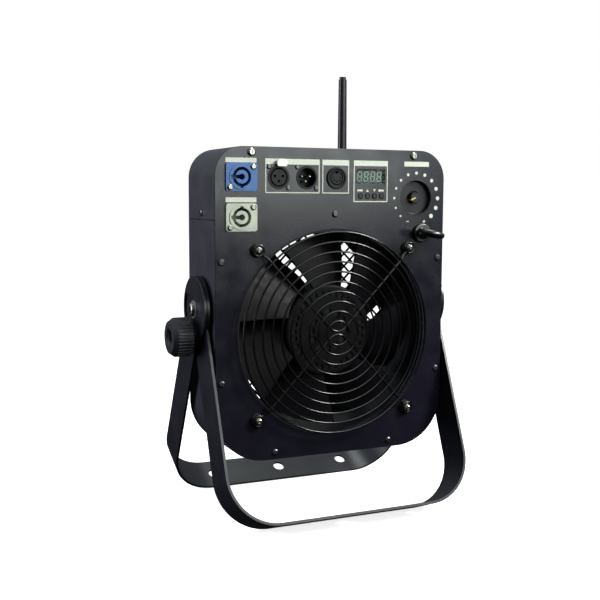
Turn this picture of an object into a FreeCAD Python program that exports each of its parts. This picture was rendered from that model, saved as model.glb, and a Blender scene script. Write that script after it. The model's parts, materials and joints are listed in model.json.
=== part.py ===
"""Stage effects fan: a flat box housing with an axial fan, carried on two swinging floor brackets.

Every sub-part is modelled in its own frame and then placed.  Two local frames are used:
  standing   x right, y back, z up (brackets, aerial, hidden boards)
  facing     x right, y up, z towards the front (everything on or parallel to the front panel)
Lengths are millimetres and angles are degrees.  Housing positions are measured from the middle of the
housing's underside at the front panel's outer face; frame_x, frame_y and frame_z then move the whole
machine so that its origin is on the floor, in the middle of its outline.
"""
import FreeCAD, Part
import math
import os
import re
import Sketcher

from FreeCAD import Placement, Rotation, Vector

SIZES = {
    # housing
    "housing_width": 246.0,
    "housing_height": 300.0,
    "housing_depth": 79.0,
    "panel_gauge": 2.0,
    "shell_gauge": 1.5,
    "flange_width": 12.0,
    "top_corner": 28.0,
    "bottom_corner": 50.0,
    "seam_height": 231.0,
    "seam_gap": 0.6,
    "tab_width": 22.0,
    # fan
    "fan_height": 121.5,
    "opening_radius": 101.2,
    "duct_radius": 99.0,
    "duct_gauge": 1.2,
    "duct_flange_radius": 107.0,
    "blade_tip_radius": 94.0,
    "blade_gauge": 2.2,
    "blade_front": 16.0,
    "blade_depth": 28.0,
    "hub_radius": 46.0,
    "hub_gauge": 1.9,
    "hub_front": 13.5,
    "hub_depth": 32.0,
    "rotor_radius": 43.9,
    "rotor_gauge": 2.0,
    "stator_radius": 37.4,
    "fan_shaft_radius": 4.0,
    "bearing_radius": 9.0,
    "bearing_width": 5.0,
    "mount_depth": 58.0,
    "mount_gauge": 2.5,
    # inlet guard and outlet grille
    "guard_pitch": 163.0,
    "guard_ring_step": 9.64,
    "guard_first_ring": 11.8,
    "guard_wire_radius": 1.0,
    "guard_spoke_radius": 1.25,
    "guard_ring_out": 9.4,
    "guard_spoke_out": 7.9,
    "guard_bend": 11.0,
    "guard_bend_gap": 1.55,
    "standoff_radius": 6.75,
    "standoff_height": 2.75,
    "grille_radius": 108.0,
    "grille_mesh_radius": 99.5,
    "grille_gauge": 1.2,
    "grille_pitch": 9.6,
    "grille_strand": 2.0,
    "grille_screw_radius": 103.0,
    # panel fittings
    "socket_row": 271.6,
    "mains_x": 97.5,
    "mains_outlet_row": 234.0,
    "mains_width": 31.0,
    "mains_tall": 26.0,
    "mains_screw_x": 11.5,
    "mains_screw_y": 9.5,
    "data_out_x": 59.6,
    "data_in_x": 30.4,
    "data_radius": 10.9,
    "data_screw_offset": 9.9,
    "remote_x": 1.0,
    "remote_radius": 10.75,
    "display_x": 38.6,
    "display_row": 273.6,
    "display_width": 32.0,
    "display_tall": 14.4,
    "button_x": 27.4,
    "button_pitch": 7.8,
    "button_row": 254.4,
    "button_radius": 2.3,
    "button_hole": 2.9,
    "button_travel": 0.8,
    "dial_x": 90.8,
    "dial_row": 253.1,
    "dial_radius": 18.2,
    "dial_depth": 5.9,
    "dial_hole": 7.2,
    "eye_x": 97.0,
    "eye_row": 217.6,
    "eye_screw_radius": 3.0,
    "eye_ring_radius": 11.0,
    "eye_wire_radius": 3.0,
    "eye_centre_out": 18.8,
    "eye_turn": 13.0,
    "eye_collar_radius": 9.4,
    "eye_collar": 3.0,
    "eye_washer": 1.2,
    "eye_nut": 5.0,
    "latch_travel": 1.5,
    "aerial_x": 52.0,
    "aerial_row": 273.0,
    "aerial_out": 90.0,
    "aerial_length": 107.0,
    "aerial_radius": 5.0,
    "aerial_tip_radius": 4.3,
    # fixings
    "top_screw_x": 87.2,
    "top_screw_row": 294.6,
    "edge_screw_x": 117.2,
    "edge_screw_high": 192.4,
    "edge_screw_low": 77.7,
    "base_screw_x": 62.5,
    "base_screw_row": 7.0,
    "side_screw_row": 237.8,
    "centre_screw_row": 236.9,
    "big_screw": 2.0,
    "small_screw": 1.5,
    "big_head": 3.9,
    "small_head": 3.2,
    "screw_play": 0.1,
    # brackets and their pivots
    "pivot_back": 39.5,
    "pivot_height": 145.0,
    "pivot_radius": 4.0,
    "pivot_play": 0.05,
    "bracket_gauge": 2.5,
    "bracket_width": 39.0,
    "bracket_disc": 32.5,
    "spacer_gauge": 2.8,
    "washer_gauge": 0.5,
    "front_bracket_length": 213.4,
    "front_bracket_bend": 49.0,
    "front_bracket_lean": 22.4,
    "rear_bracket_length": 219.9,
    "rear_bracket_bend": 47.0,
    "bracket_swing": 115.0,
    "hang_hole_radius": 6.0,
    "hang_hole_x": 77.0,
    "lock_drop": 26.0,
    "lock_stud": 3.0,
    "lock_play": 0.3,
    "knob_radius": 19.0,
    "knob_length": 20.3,
    "knob_boss": 4.7,
    "bolt_head_radius": 6.5,
    "bolt_head": 3.5,
    "head_washer": 0.8,
}

# The rear bracket leans back until its foot edge is level with the front bracket's foot edge.
front_lean = math.radians(SIZES["front_bracket_lean"])
half_strap = SIZES["bracket_width"] / 2
foot_drop = SIZES["front_bracket_length"] * math.cos(front_lean) + half_strap * math.sin(front_lean)
foot_reach = math.hypot(SIZES["rear_bracket_length"], half_strap)
foot_angle = math.atan2(half_strap, SIZES["rear_bracket_length"])
rear_lean = math.acos(foot_drop / foot_reach) + foot_angle
SIZES["rear_bracket_lean"] = math.degrees(rear_lean)

# Outer faces of the stack on each pivot, counted from the middle of the housing.
SIZES["inner_bracket_face"] = SIZES["housing_width"] / 2 + SIZES["spacer_gauge"] + SIZES["bracket_gauge"]
SIZES["outer_bracket_face"] = SIZES["inner_bracket_face"] + SIZES["washer_gauge"] + SIZES["bracket_gauge"]

# The outline of the whole machine sets the origin: middle of its width and depth, on the floor.
knob_reach = SIZES["outer_bracket_face"] + SIZES["knob_boss"] + SIZES["knob_length"]
bolt_reach = SIZES["outer_bracket_face"] + SIZES["head_washer"] + SIZES["bolt_head"]
front_edge = (
    SIZES["pivot_back"] - SIZES["front_bracket_length"] * math.sin(front_lean) - half_strap * math.cos(front_lean)
)
rear_edge = (
    SIZES["pivot_back"] + SIZES["rear_bracket_length"] * math.sin(rear_lean) + half_strap * math.cos(rear_lean)
)
SIZES["frame_x"] = (knob_reach - bolt_reach) / 2
SIZES["frame_y"] = -(front_edge + rear_edge) / 2
SIZES["frame_z"] = foot_drop - SIZES["pivot_height"]

STANDING = Rotation()
FACING = Rotation(Vector(1, 0, 0), 90)
FACING_BACK = Rotation(Vector(1, 0, 0), -90)
FACING_RIGHT = Rotation(Vector(0, 1, 0), 90)
FACING_LEFT = Rotation(Vector(0, 1, 0), -90)

doc = FreeCAD.newDocument("stage_fan")
sheet = doc.addObject("Spreadsheet::Sheet", "Sizes")
for row, (alias, length) in enumerate(SIZES.items(), start=1):
    sheet.set(f"A{row}", alias)
    sheet.set(f"B{row}", str(length))
    sheet.setAlias(f"B{row}", alias)
doc.recompute()

nodes = []


# ---------------------------------------------------------------- sizes and placing

def size(alias):
    """One driving dimension, as the sheet holds it."""
    return float(sheet.get(alias))


def spell(formula, word_for):
    """The formula with each size name replaced by word_for(name)."""
    return re.sub(r"[a-z][a-z_]+", lambda found: word_for(found.group()), formula)


def number(formula):
    """The value of a formula of size names, such as 'housing_width / 2'."""
    return FreeCAD.Units.Quantity(spell(formula, lambda word: repr(size(word)))).Value


def bind(item, prop, formula):
    """Drive a property from the sheet."""
    item.setExpression(prop, spell(formula, lambda word: "Sizes." + word))


def place(node, label, turn=STANDING, x="0", y="0", z="0"):
    """Name a finished sub-part and put it at x, y, z in the housing's frame, turned by turn."""
    node.Label = label
    node.Placement = Placement(Vector(), turn)
    bind(node, "Placement.Base.x", f"frame_x + ({x})")
    bind(node, "Placement.Base.y", f"frame_y + ({y})")
    bind(node, "Placement.Base.z", f"frame_z + ({z})")
    nodes.append(node)
    return node


# ---------------------------------------------------------------- sketches and features

def new_body(label):
    return doc.addObject("PartDesign::Body", label)


def sketch_on(body, plane="XY_Plane", height="0"):
    """A sketch on one of the body's own origin planes, raised by height along the plane's normal."""
    sketch = body.newObject("Sketcher::SketchObject", body.Name + "_sketch")
    base_plane = next(item for item in body.Origin.OriginFeatures if item.Role == plane)
    sketch.AttachmentSupport = [(base_plane, "")]
    sketch.MapMode = "FlatFace"
    bind(sketch, "AttachmentOffset.Base.z", height)
    return sketch


def hold(sketch, constraint, formula):
    """Add a dimension to a sketch and drive it from the sheet."""
    index = sketch.addConstraint(constraint)
    bind(sketch, f"Constraints[{index}]", formula)


def pin(sketch, edge, point, x, y):
    """Fix a point of an edge at x, y from the sketch's origin."""
    for axis, kind, formula in ((-2, "DistanceX", x), (-1, "DistanceY", y)):
        if formula == "0":
            sketch.addConstraint(Sketcher.Constraint("PointOnObject", edge, point, axis))
        else:
            hold(sketch, Sketcher.Constraint(kind, -1, 1, edge, point, number(formula)), formula)


def add_circle(sketch, radius, x="0", y="0"):
    centre = Vector(number(x), number(y), 0)
    edge = sketch.addGeometry(Part.Circle(centre, Vector(0, 0, 1), number(radius)))
    pin(sketch, edge, 3, x, y)
    hold(sketch, Sketcher.Constraint("Radius", edge, number(radius)), radius)


def add_polygon(sketch, corners):
    """A closed outline of straight lines through corners, a list of (x, y) formulas."""
    points = [Vector(number(x), number(y), 0) for x, y in corners]
    first = sketch.GeometryCount
    count = len(corners)
    for index in range(count):
        sketch.addGeometry(Part.LineSegment(points[index], points[(index + 1) % count]))
    for index, (x, y) in enumerate(corners):
        following = first + (index + 1) % count
        sketch.addConstraint(Sketcher.Constraint("Coincident", first + index, 2, following, 1))
        pin(sketch, first + index, 1, x, y)


def add_box(sketch, left, right, low, high):
    add_polygon(sketch, [(left, low), (right, low), (right, high), (left, high)])


def add_rounded_box(sketch, left, right, low, high, low_radius, high_radius):
    """A rectangle with one radius on its two low corners and another on its two high corners."""
    x0, x1, y0, y1 = (number(formula) for formula in (left, right, low, high))
    corners = [
        (x0, y0, 1, 1, low_radius, 180),
        (x1, y0, -1, 1, low_radius, 270),
        (x1, y1, -1, -1, high_radius, 0),
        (x0, y1, 1, -1, high_radius, 90),
    ]
    first = sketch.GeometryCount
    arcs = []
    for x, y, inward_x, inward_y, radius, start in corners:
        reach = number(radius)
        centre = Vector(x + inward_x * reach, y + inward_y * reach, 0)
        circle = Part.Circle(centre, Vector(0, 0, 1), reach)
        arcs.append(Part.ArcOfCircle(circle, math.radians(start), math.radians(start + 90)))
    for index, arc in enumerate(arcs):
        sketch.addGeometry(arc)
        sketch.addGeometry(Part.LineSegment(arc.EndPoint, arcs[(index + 1) % 4].StartPoint))
    for index, corner in enumerate(corners):
        arc = first + 2 * index
        line = arc + 1
        following = first + (2 * index + 2) % 8
        sketch.addConstraint(Sketcher.Constraint("Tangent", arc, 2, line, 1))
        sketch.addConstraint(Sketcher.Constraint("Tangent", line, 2, following, 1))
        sketch.addConstraint(Sketcher.Constraint("Vertical" if index % 2 else "Horizontal", line))
        hold(sketch, Sketcher.Constraint("Radius", arc, number(corner[4])), corner[4])
    base_line, right_line, top_line, left_line = first + 1, first + 3, first + 5, first + 7
    hold(sketch, Sketcher.Constraint("DistanceY", -1, 1, base_line, 1, y0), low)
    hold(sketch, Sketcher.Constraint("DistanceX", -1, 1, right_line, 1, x1), right)
    hold(sketch, Sketcher.Constraint("DistanceY", -1, 1, top_line, 1, y1), high)
    hold(sketch, Sketcher.Constraint("DistanceX", -1, 1, left_line, 1, x0), left)


def pad(body, sketch, length, backwards=False):
    feature = body.newObject("PartDesign::Pad", body.Name + "_pad")
    feature.Profile = sketch
    feature.Reversed = backwards
    bind(feature, "Length", length)
    return feature


def pad_both_ways(body, sketch, length):
    feature = pad(body, sketch, length)
    feature.SideType = "Symmetric"
    return feature


def pocket(body, sketch, length, backwards=False):
    """Cut against the sketch's normal, or along it when backwards is set."""
    feature = body.newObject("PartDesign::Pocket", body.Name + "_pocket")
    feature.Profile = sketch
    feature.Reversed = backwards
    bind(feature, "Length", length)
    return feature


def turned(label, profile):
    """A body of revolution about its own Z axis from a list of (radius, height) formulas."""
    body = new_body(label)
    sketch = sketch_on(body, "XZ_Plane")
    add_polygon(sketch, profile)
    feature = body.newObject("PartDesign::Revolution", label + "_turned")
    feature.Profile = sketch
    feature.ReferenceAxis = (sketch, ["V_Axis"])
    feature.Angle = 360
    return body


def ring(label, inner, outer, length):
    """A plain washer or tube standing on its own XY plane."""
    body = new_body(label)
    sketch = sketch_on(body)
    add_circle(sketch, outer)
    add_circle(sketch, inner)
    pad(body, sketch, length)
    return body


def rod(label, radius, length, start="0"):
    """A plain round bar along its own Z axis."""
    body = new_body(label)
    sketch = sketch_on(body, "XY_Plane", start)
    add_circle(sketch, radius)
    pad(body, sketch, length)
    return body


def cut_circles(body, circles, length, height="0", backwards=False):
    """Pocket round holes, given as (radius, x, y), from a plane at height."""
    sketch = sketch_on(body, "XY_Plane", height)
    for radius, x, y in circles:
        add_circle(sketch, radius, x, y)
    return pocket(body, sketch, length, backwards)


# ---------------------------------------------------------------- primitives

def block(width, depth, height, x="0", y="0", z="0"):
    """A box centred on x and y, standing on z."""
    box = doc.addObject("Part::Box", "block")
    bind(box, "Length", width)
    bind(box, "Width", depth)
    bind(box, "Height", height)
    bind(box, "Placement.Base.x", f"{x} - ({width}) / 2")
    bind(box, "Placement.Base.y", f"{y} - ({depth}) / 2")
    bind(box, "Placement.Base.z", z)
    return box


def drum(radius, height, x="0", y="0", z="0", turn=STANDING):
    cylinder = doc.addObject("Part::Cylinder", "drum")
    cylinder.Placement = Placement(Vector(), turn)
    bind(cylinder, "Radius", radius)
    bind(cylinder, "Height", height)
    bind(cylinder, "Placement.Base.x", x)
    bind(cylinder, "Placement.Base.y", y)
    bind(cylinder, "Placement.Base.z", z)
    return cylinder


def joined(*pieces):
    fusion = doc.addObject("Part::MultiFuse", "joined")
    fusion.Shapes = list(pieces)
    fusion.Refine = True
    return fusion


def minus(base, *tools):
    cut = doc.addObject("Part::Cut", "cut")
    cut.Base = base
    cut.Tool = tools[0] if len(tools) == 1 else joined(*tools)
    return cut


def set_shape(label, shape):
    feature = doc.addObject("Part::Feature", label)
    feature.Shape = shape
    return feature


# ---------------------------------------------------------------- fasteners

def pan_screw(shank, head, head_height, length):
    """A cross-recess pan-head screw: head above z = 0, shank below."""
    edge = head_height * 0.45
    outline = [
        Vector(0, 0, -length),
        Vector(shank, 0, -length),
        Vector(shank, 0, 0),
        Vector(head, 0, 0),
        Vector(head, 0, edge),
        Vector(head * 0.6, 0, head_height),
        Vector(0, 0, head_height),
        Vector(0, 0, -length),
    ]
    screw = Part.Face(Part.makePolygon(outline)).revolve(Vector(), Vector(0, 0, 1), 360)
    slot_width = head * 0.22
    slot_length = head * 1.0
    recess = head_height * 0.6
    for across in (0, 90):
        slot = Part.makeBox(slot_length, slot_width, recess + 1)
        slot.translate(Vector(-slot_length / 2, -slot_width / 2, head_height - recess))
        slot.rotate(Vector(), Vector(0, 0, 1), across)
        screw = screw.cut(slot)
    return screw


def button_screw(shank, head, head_height, key, length):
    """A domed screw with a key socket: head above z = 0, shank below."""
    ball = (head * head + head_height * head_height) / (2 * head_height)
    dome = Part.makeSphere(ball, Vector(0, 0, head_height - ball)).common(Part.makeCylinder(head, head_height))
    socket_depth = head_height * 0.6
    dome = dome.cut(hexagon(key, socket_depth, head_height - socket_depth))
    return dome.fuse(Part.makeCylinder(shank, length, Vector(0, 0, -length)))


def hexagon(across_flats, height, base=0):
    corner = across_flats / math.sqrt(3)
    points = [
        Vector(corner * math.cos(math.radians(60 * step)), corner * math.sin(math.radians(60 * step)), base)
        for step in range(7)
    ]
    return Part.Face(Part.makePolygon(points)).extrude(Vector(0, 0, height))


def hex_nut(across_flats, bore, height):
    return hexagon(across_flats, height).cut(Part.makeCylinder(bore, height))


def copies(shape, points):
    """The shape at each point of a list of (x, y, z), as one group of separate solids."""
    group = []
    for point in points:
        one = shape.copy()
        one.translate(Vector(*point))
        group.append(one)
    return Part.makeCompound(group)


# ---------------------------------------------------------------- shared patterns

BIG_HOLE = "big_screw + screw_play"
SMALL_HOLE = "small_screw + screw_play"
TOP_SCREWS = [("top_screw_x", "top_screw_row"), ("-top_screw_x", "top_screw_row")]
EDGE_SCREWS = [
    (side + column, row)
    for side in ("", "-")
    for column, row in (
        ("edge_screw_x", "edge_screw_high"),
        ("edge_screw_x", "edge_screw_low"),
        ("base_screw_x", "base_screw_row"),
    )
]
GUARD_SCREWS = [
    (side + "guard_pitch / 2", "fan_height " + rise + " guard_pitch / 2")
    for side in ("", "-")
    for rise in ("+", "-")
]
BUTTONS = [("button_x + button_pitch * " + str(step), "button_row") for step in range(4)]


def holes(radius, places):
    return [(radius, x, y) for x, y in places]


def spots(places, out="0"):
    """Formula pairs as points in the facing frame."""
    return [(number(x), number(y), number(out)) for x, y in places]


def outline(sketch, inset="0"):
    """The housing's outline, moved inwards by inset."""
    add_rounded_box(
        sketch,
        f"{inset} - housing_width / 2",
        f"housing_width / 2 - {inset}",
        f"0 + {inset}",
        f"housing_height - {inset}",
        f"bottom_corner - {inset}",
        f"top_corner - {inset}",
    )


# ---------------------------------------------------------------- housing

def make_panel(label, height):
    """A flat plate of the housing's outline whose outer face is at height in the facing frame."""
    body = new_body(label)
    sketch = sketch_on(body, "XY_Plane", height)
    outline(sketch)
    pad(body, sketch, "panel_gauge", backwards=True)
    return body


def make_front_panel():
    body = make_panel("front_panel", "0")
    cut_circles(body, [("opening_radius", "0", "fan_height")], "panel_gauge")
    cut_circles(body, holes(BIG_HOLE, TOP_SCREWS + GUARD_SCREWS), "panel_gauge")
    cut_circles(body, holes(SMALL_HOLE, EDGE_SCREWS + [("0", "centre_screw_row")]), "panel_gauge")
    sockets = [
        ("12", "-mains_x", "socket_row"),
        ("12", "-mains_x", "mains_outlet_row"),
        ("data_radius + 0.3", "-data_out_x", "socket_row"),
        ("data_radius + 0.3", "-data_in_x", "socket_row"),
        ("8", "remote_x", "socket_row"),
        ("dial_radius + 0.1", "dial_x", "dial_row"),
        ("eye_screw_radius + 0.1", "eye_x", "eye_row"),
    ]
    cut_circles(body, sockets, "panel_gauge")
    socket_screws = []
    for row in ("socket_row", "mains_outlet_row"):
        for sign in ("+", "-"):
            x = f"0 {sign} mains_screw_x - mains_x"
            socket_screws.append((SMALL_HOLE, x, f"{row} {sign} mains_screw_y"))
    for column in ("data_out_x", "data_in_x"):
        for sign, other in (("+", "-"), ("-", "+")):
            x = f"0 {sign} data_screw_offset - {column}"
            socket_screws.append((SMALL_HOLE, x, f"socket_row {other} data_screw_offset"))
    cut_circles(body, socket_screws, "panel_gauge")
    cut_circles(body, holes("button_hole", BUTTONS), "panel_gauge")
    window = sketch_on(body)
    add_box(
        window,
        "display_x - display_width / 2",
        "display_x + display_width / 2",
        "display_row - display_tall / 2",
        "display_row + display_tall / 2",
    )
    pocket(body, window, "panel_gauge")
    latch = sketch_on(body)
    add_box(latch, "-data_out_x - 2.5", "-data_out_x + 6.5", "socket_row + 10", "socket_row + 16.2")
    pocket(body, latch, "panel_gauge")
    place(body, "front_panel", FACING)


def make_rear_panel():
    body = make_panel("rear_panel", "panel_gauge - housing_depth")
    face = "panel_gauge - housing_depth"
    cut_circles(body, [("duct_radius", "0", "fan_height")], "panel_gauge", face)
    cut_circles(body, holes(BIG_HOLE, TOP_SCREWS), "panel_gauge", face)
    cut_circles(body, holes(SMALL_HOLE, EDGE_SCREWS + grille_screw_places()), "panel_gauge", face)
    cut_circles(body, [("3.3", "aerial_x", "aerial_row")], "panel_gauge", face)
    place(body, "rear_panel", FACING)


def grille_screw_places():
    reach = "grille_screw_radius * 0.7071"
    return [
        (f"{side}{reach}", f"fan_height {rise} {reach}")
        for side in ("", "-")
        for rise in ("+", "-")
    ]


def make_shell(label, keep_top):
    """One half of the wrap-round shell: a strip with an inward flange behind each panel."""
    inner_depth = "housing_depth - 2 * panel_gauge"
    body = new_body(label)
    outer = sketch_on(body, "XY_Plane", "-panel_gauge")
    outline(outer)
    pad(body, outer, inner_depth, backwards=True)
    throat = sketch_on(body, "XY_Plane", "-panel_gauge")
    outline(throat, "flange_width")
    pocket(body, throat, inner_depth)
    cavity = sketch_on(body, "XY_Plane", "-panel_gauge - shell_gauge")
    outline(cavity, "shell_gauge")
    pocket(body, cavity, inner_depth + " - 2 * shell_gauge")
    spare = sketch_on(body, "XY_Plane", "-panel_gauge")
    low, high = ("-1", "seam_height + seam_gap") if keep_top else ("seam_height", "housing_height + 1")
    add_box(spare, "-housing_width / 2 - 1", "housing_width / 2 + 1", low, high)
    pocket(body, spare, inner_depth)
    screws = holes(BIG_HOLE, TOP_SCREWS) if keep_top else holes(SMALL_HOLE, EDGE_SCREWS)
    cut_circles(body, screws, inner_depth, "-panel_gauge")
    return body


def bore_sides(body, radius, depth, height, reach="housing_width + 2", start="housing_width / 2 + 1"):
    """Bore through the housing's sides along x, at depth behind the panel face and at height."""
    sketch = sketch_on(body, "YZ_Plane", start)
    add_circle(sketch, radius, height, f"-({depth})")
    pocket(body, sketch, reach)


def make_top_cover():
    body = make_shell("top_cover", keep_top=True)
    bore_sides(body, SMALL_HOLE, "pivot_back", "side_screw_row")
    place(body, "top_cover", FACING)


def make_lower_shell():
    """The lower strip, with two tabs standing up behind the cover for the side screws."""
    body = make_shell("lower_shell", keep_top=False)
    for inner, outer in (
        ("shell_gauge - housing_width / 2", "2 * shell_gauge - housing_width / 2"),
        ("housing_width / 2 - 2 * shell_gauge", "housing_width / 2 - shell_gauge"),
    ):
        tab = sketch_on(body, "XY_Plane", "tab_width / 2 - pivot_back")
        add_box(tab, inner, outer, "seam_height - 20", "seam_height + 14")
        pad(body, tab, "tab_width", backwards=True)
    bore_sides(body, SMALL_HOLE, "pivot_back", "side_screw_row")
    bore_sides(body, "pivot_radius + screw_play", "pivot_back", "pivot_height")
    bore_sides(
        body, "lock_stud + screw_play", "pivot_back", "pivot_height - lock_drop",
        "housing_width / 2", "0",
    )
    place(body, "lower_shell", FACING)


def make_housing_screws():
    """Small black screws all round the housing and over the grille, and larger ones in the top flange."""
    depth = size("housing_depth")
    half_width = size("housing_width") / 2
    small = pan_screw(size("small_screw"), size("small_head"), 1.8, 7)
    large = pan_screw(size("big_screw"), size("big_head"), 2.6, 8)
    front = spots(EDGE_SCREWS + [("0", "centre_screw_row")])
    back = [(-x, y, depth) for x, y, _ in spots(EDGE_SCREWS)]
    grille = [(-x, y, depth + size("grille_gauge")) for x, y, _ in spots(grille_screw_places())]
    sides = []
    for sign in (1, -1):
        screw = small.copy()
        centre = Vector(sign * half_width, size("side_screw_row"), -size("pivot_back"))
        screw.Placement = Placement(centre, Rotation(Vector(0, 1, 0), 90 * sign))
        sides.append(screw)
    group = [copies(small, front), facing_away(copies(small, back + grille))] + sides
    place(set_shape("housing_screws", Part.makeCompound(group)), "housing_screws", FACING)
    top_back = [(-x, y, depth) for x, y, _ in spots(TOP_SCREWS)]
    group = [copies(large, spots(TOP_SCREWS)), facing_away(copies(large, top_back))]
    place(set_shape("top_screws", Part.makeCompound(group)), "top_screws", FACING)


def facing_away(shape):
    """The shape turned to look out of the back of the housing."""
    shape.rotate(Vector(), Vector(0, 1, 0), 180)
    return shape


# ---------------------------------------------------------------- fan

def make_fan_duct():
    body = turned("fan_duct", [
        ("duct_radius", "0"),
        ("duct_flange_radius", "0"),
        ("duct_flange_radius", "duct_gauge"),
        ("duct_radius + duct_gauge", "duct_gauge"),
        ("duct_radius + duct_gauge", "housing_depth - 2 * panel_gauge - duct_gauge"),
        ("duct_flange_radius", "housing_depth - 2 * panel_gauge - duct_gauge"),
        ("duct_flange_radius", "housing_depth - 2 * panel_gauge"),
        ("duct_radius", "housing_depth - 2 * panel_gauge"),
    ])
    reach = "grille_screw_radius * 0.7071"
    corners = [(f"{side}{reach}", f"{rise}{reach}") for side in ("", "-") for rise in ("", "-")]
    cut_circles(body, holes(SMALL_HOLE, corners), "duct_gauge", "housing_depth - 2 * panel_gauge")
    place(body, "fan_duct", FACING_BACK, "0", "panel_gauge", "fan_height")


def blade_section(radius, sweep, spread, depth):
    """A thin cambered blade outline standing at a radius, as a closed wire of two arcs and two ends."""
    half_chord = radius * math.tan(math.radians(spread) / 2)
    gauge = size("blade_gauge")
    camber = depth * 0.16
    front = Vector(-half_chord, 0, 0)
    back = Vector(half_chord, depth, 0)
    middle = Vector(camber, depth / 2 - camber, 0)
    lift = Vector(gauge * 0.55, -gauge * 0.8, 0)
    near = Part.Arc(front, middle, back).toShape()
    far = Part.Arc(back + lift, middle + lift, front + lift).toShape()
    ends = [Part.makeLine(back, back + lift), Part.makeLine(front + lift, front)]
    wire = Part.Wire([near, ends[0], far, ends[1]])
    wire.translate(Vector(0, 0, radius))
    wire.rotate(Vector(), Vector(0, 1, 0), sweep)
    return wire


def make_impeller():
    """Moulded impeller: a vented hub cap and seven swept blades, turning about the y axis."""
    blade_count = 7
    first_blade = 39.7
    tip = size("blade_tip_radius")
    hub = size("hub_radius")
    root_radius = hub - 8
    trim_radius = tip + 5
    sections = []
    for share in (0.0, 0.25, 0.5, 0.75, 1.0):
        radius = root_radius + share * (trim_radius - root_radius)
        spread = 57.8 - 19.6 * share + 7 * share * share
        sweep = 19.4 - 29.6 * share + 12.6 * share * share
        depth = size("blade_depth") * (1 - 0.12 * share)
        sections.append(blade_section(radius, sweep, spread, depth))
    blade = Part.makeLoft(sections, True, False)
    reach = Part.makeCylinder(tip, 60, Vector(0, -10, 0), Vector(0, 1, 0))
    core = Part.makeCylinder(hub - size("hub_gauge") / 2, 60, Vector(0, -10, 0), Vector(0, 1, 0))
    blade = blade.common(reach).cut(core)
    blade.translate(Vector(0, size("blade_front"), 0))
    front = size("hub_front")
    outside = Part.makeCylinder(hub, size("hub_depth"), Vector(0, front, 0), Vector(0, 1, 0))
    outside = outside.makeFillet(3, [outside.Edges[edge] for edge in front_edges(outside, front)])
    inside = Part.makeCylinder(
        hub - size("hub_gauge"), size("hub_depth"), Vector(0, front + size("hub_gauge"), 0), Vector(0, 1, 0)
    )
    shape = outside.cut(inside)
    for step in range(blade_count):
        one = blade.copy()
        one.rotate(Vector(), Vector(0, 1, 0), first_blade + 360 / blade_count * step)
        shape = shape.fuse(one)
    vents = []
    for vent_radius, vent_length, vent_width, vent_count in ((37.0, 5.5, 4.2, 32), (18.5, 7.0, 6.0, 12)):
        for step in range(vent_count):
            corner = Vector(vent_radius - vent_length / 2, front - 1, -vent_width / 2)
            vent = Part.makeBox(vent_length, 5, vent_width, corner)
            vent.rotate(Vector(), Vector(0, 1, 0), 360 / vent_count * step)
            vents.append(vent)
    shape = shape.cut(Part.makeCompound(vents)).removeSplitter()
    place(set_shape("impeller", shape), "impeller", STANDING, "0", "0", "fan_height")


def front_edges(shape, depth):
    """Indices of the circular edges that lie wholly at a depth."""
    found = []
    for index, edge in enumerate(shape.Edges):
        box = edge.BoundBox
        if abs(box.YMin - depth) < 0.01 and abs(box.YMax - depth) < 0.01:
            found.append(index)
    return found


def make_motor():
    """External-rotor motor: the cup, magnets and shaft turn; the wound stator and its plate stay."""
    cup = turned("rotor_cup", [
        ("fan_shaft_radius", "0"),
        ("rotor_radius", "0"),
        ("rotor_radius", "hub_depth - 4"),
        ("rotor_radius - rotor_gauge", "hub_depth - 4"),
        ("rotor_radius - rotor_gauge", "rotor_gauge"),
        ("fan_shaft_radius", "rotor_gauge"),
    ])
    place(cup, "rotor_cup", FACING_BACK, "0", "hub_front + hub_gauge + 0.1", "fan_height")
    magnets = ring("rotor_magnets", "stator_radius + 0.8", "rotor_radius - rotor_gauge", "20")
    place(magnets, "rotor_magnets", FACING_BACK, "0", "24", "fan_height")
    shaft = rod("fan_shaft", "fan_shaft_radius", "40")
    place(shaft, "fan_shaft", FACING_BACK, "0", "hub_front + hub_gauge + 0.1", "fan_height")

    core = set_shape("motor_stator", stator_shape())
    place(core, "motor_stator", FACING_BACK, "0", "24", "fan_height")
    race = Part.makeCylinder(size("bearing_radius") - 0.02, size("bearing_width"))
    race = race.cut(Part.makeCylinder(size("fan_shaft_radius") + 0.05, size("bearing_width")))
    bearings = set_shape("motor_bearings", copies(race, [(0, 0, 0), (0, 0, 26)]))
    place(bearings, "motor_bearings", FACING_BACK, "0", "23", "fan_height")

    plate = drum("30", "mount_gauge")
    tube = drum("bearing_radius + 2", "36", "0", "0", "-36")
    span = "duct_radius * 2 + 4"
    arms = [block(span, "16", "mount_gauge"), block("16", span, "mount_gauge")]
    spider = joined(plate, tube, *arms)
    trimmed = doc.addObject("Part::Common", "trimmed")
    trimmed.Base = spider
    trimmed.Tool = drum("duct_radius - 0.05", "60", "0", "0", "-50")
    turned_spider = minus(trimmed, drum("bearing_radius", "60", "0", "0", "-50"))
    lean = FACING_BACK.multiply(Rotation(Vector(0, 0, 1), -33))
    place(turned_spider, "motor_mount", lean, "0", "mount_depth", "fan_height")


def stator_shape():
    """Laminated stator with twelve slots, as one solid round the bearing tube."""
    depth = 20
    core = Part.makeCylinder(size("stator_radius"), depth)
    core = core.cut(Part.makeCylinder(size("bearing_radius") + 2.05, depth))
    slots = []
    for step in range(12):
        slot = Part.makeBox(9, 7, depth)
        slot.translate(Vector(22, -3.5, 0))
        mouth = Part.makeBox(10, 2, depth)
        mouth.translate(Vector(30, -1, 0))
        slot = slot.fuse(mouth)
        slot.rotate(Vector(), Vector(0, 0, 1), 30 * step)
        slots.append(slot)
    return core.cut(Part.makeCompound(slots))


# ---------------------------------------------------------------- guard and grille

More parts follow.
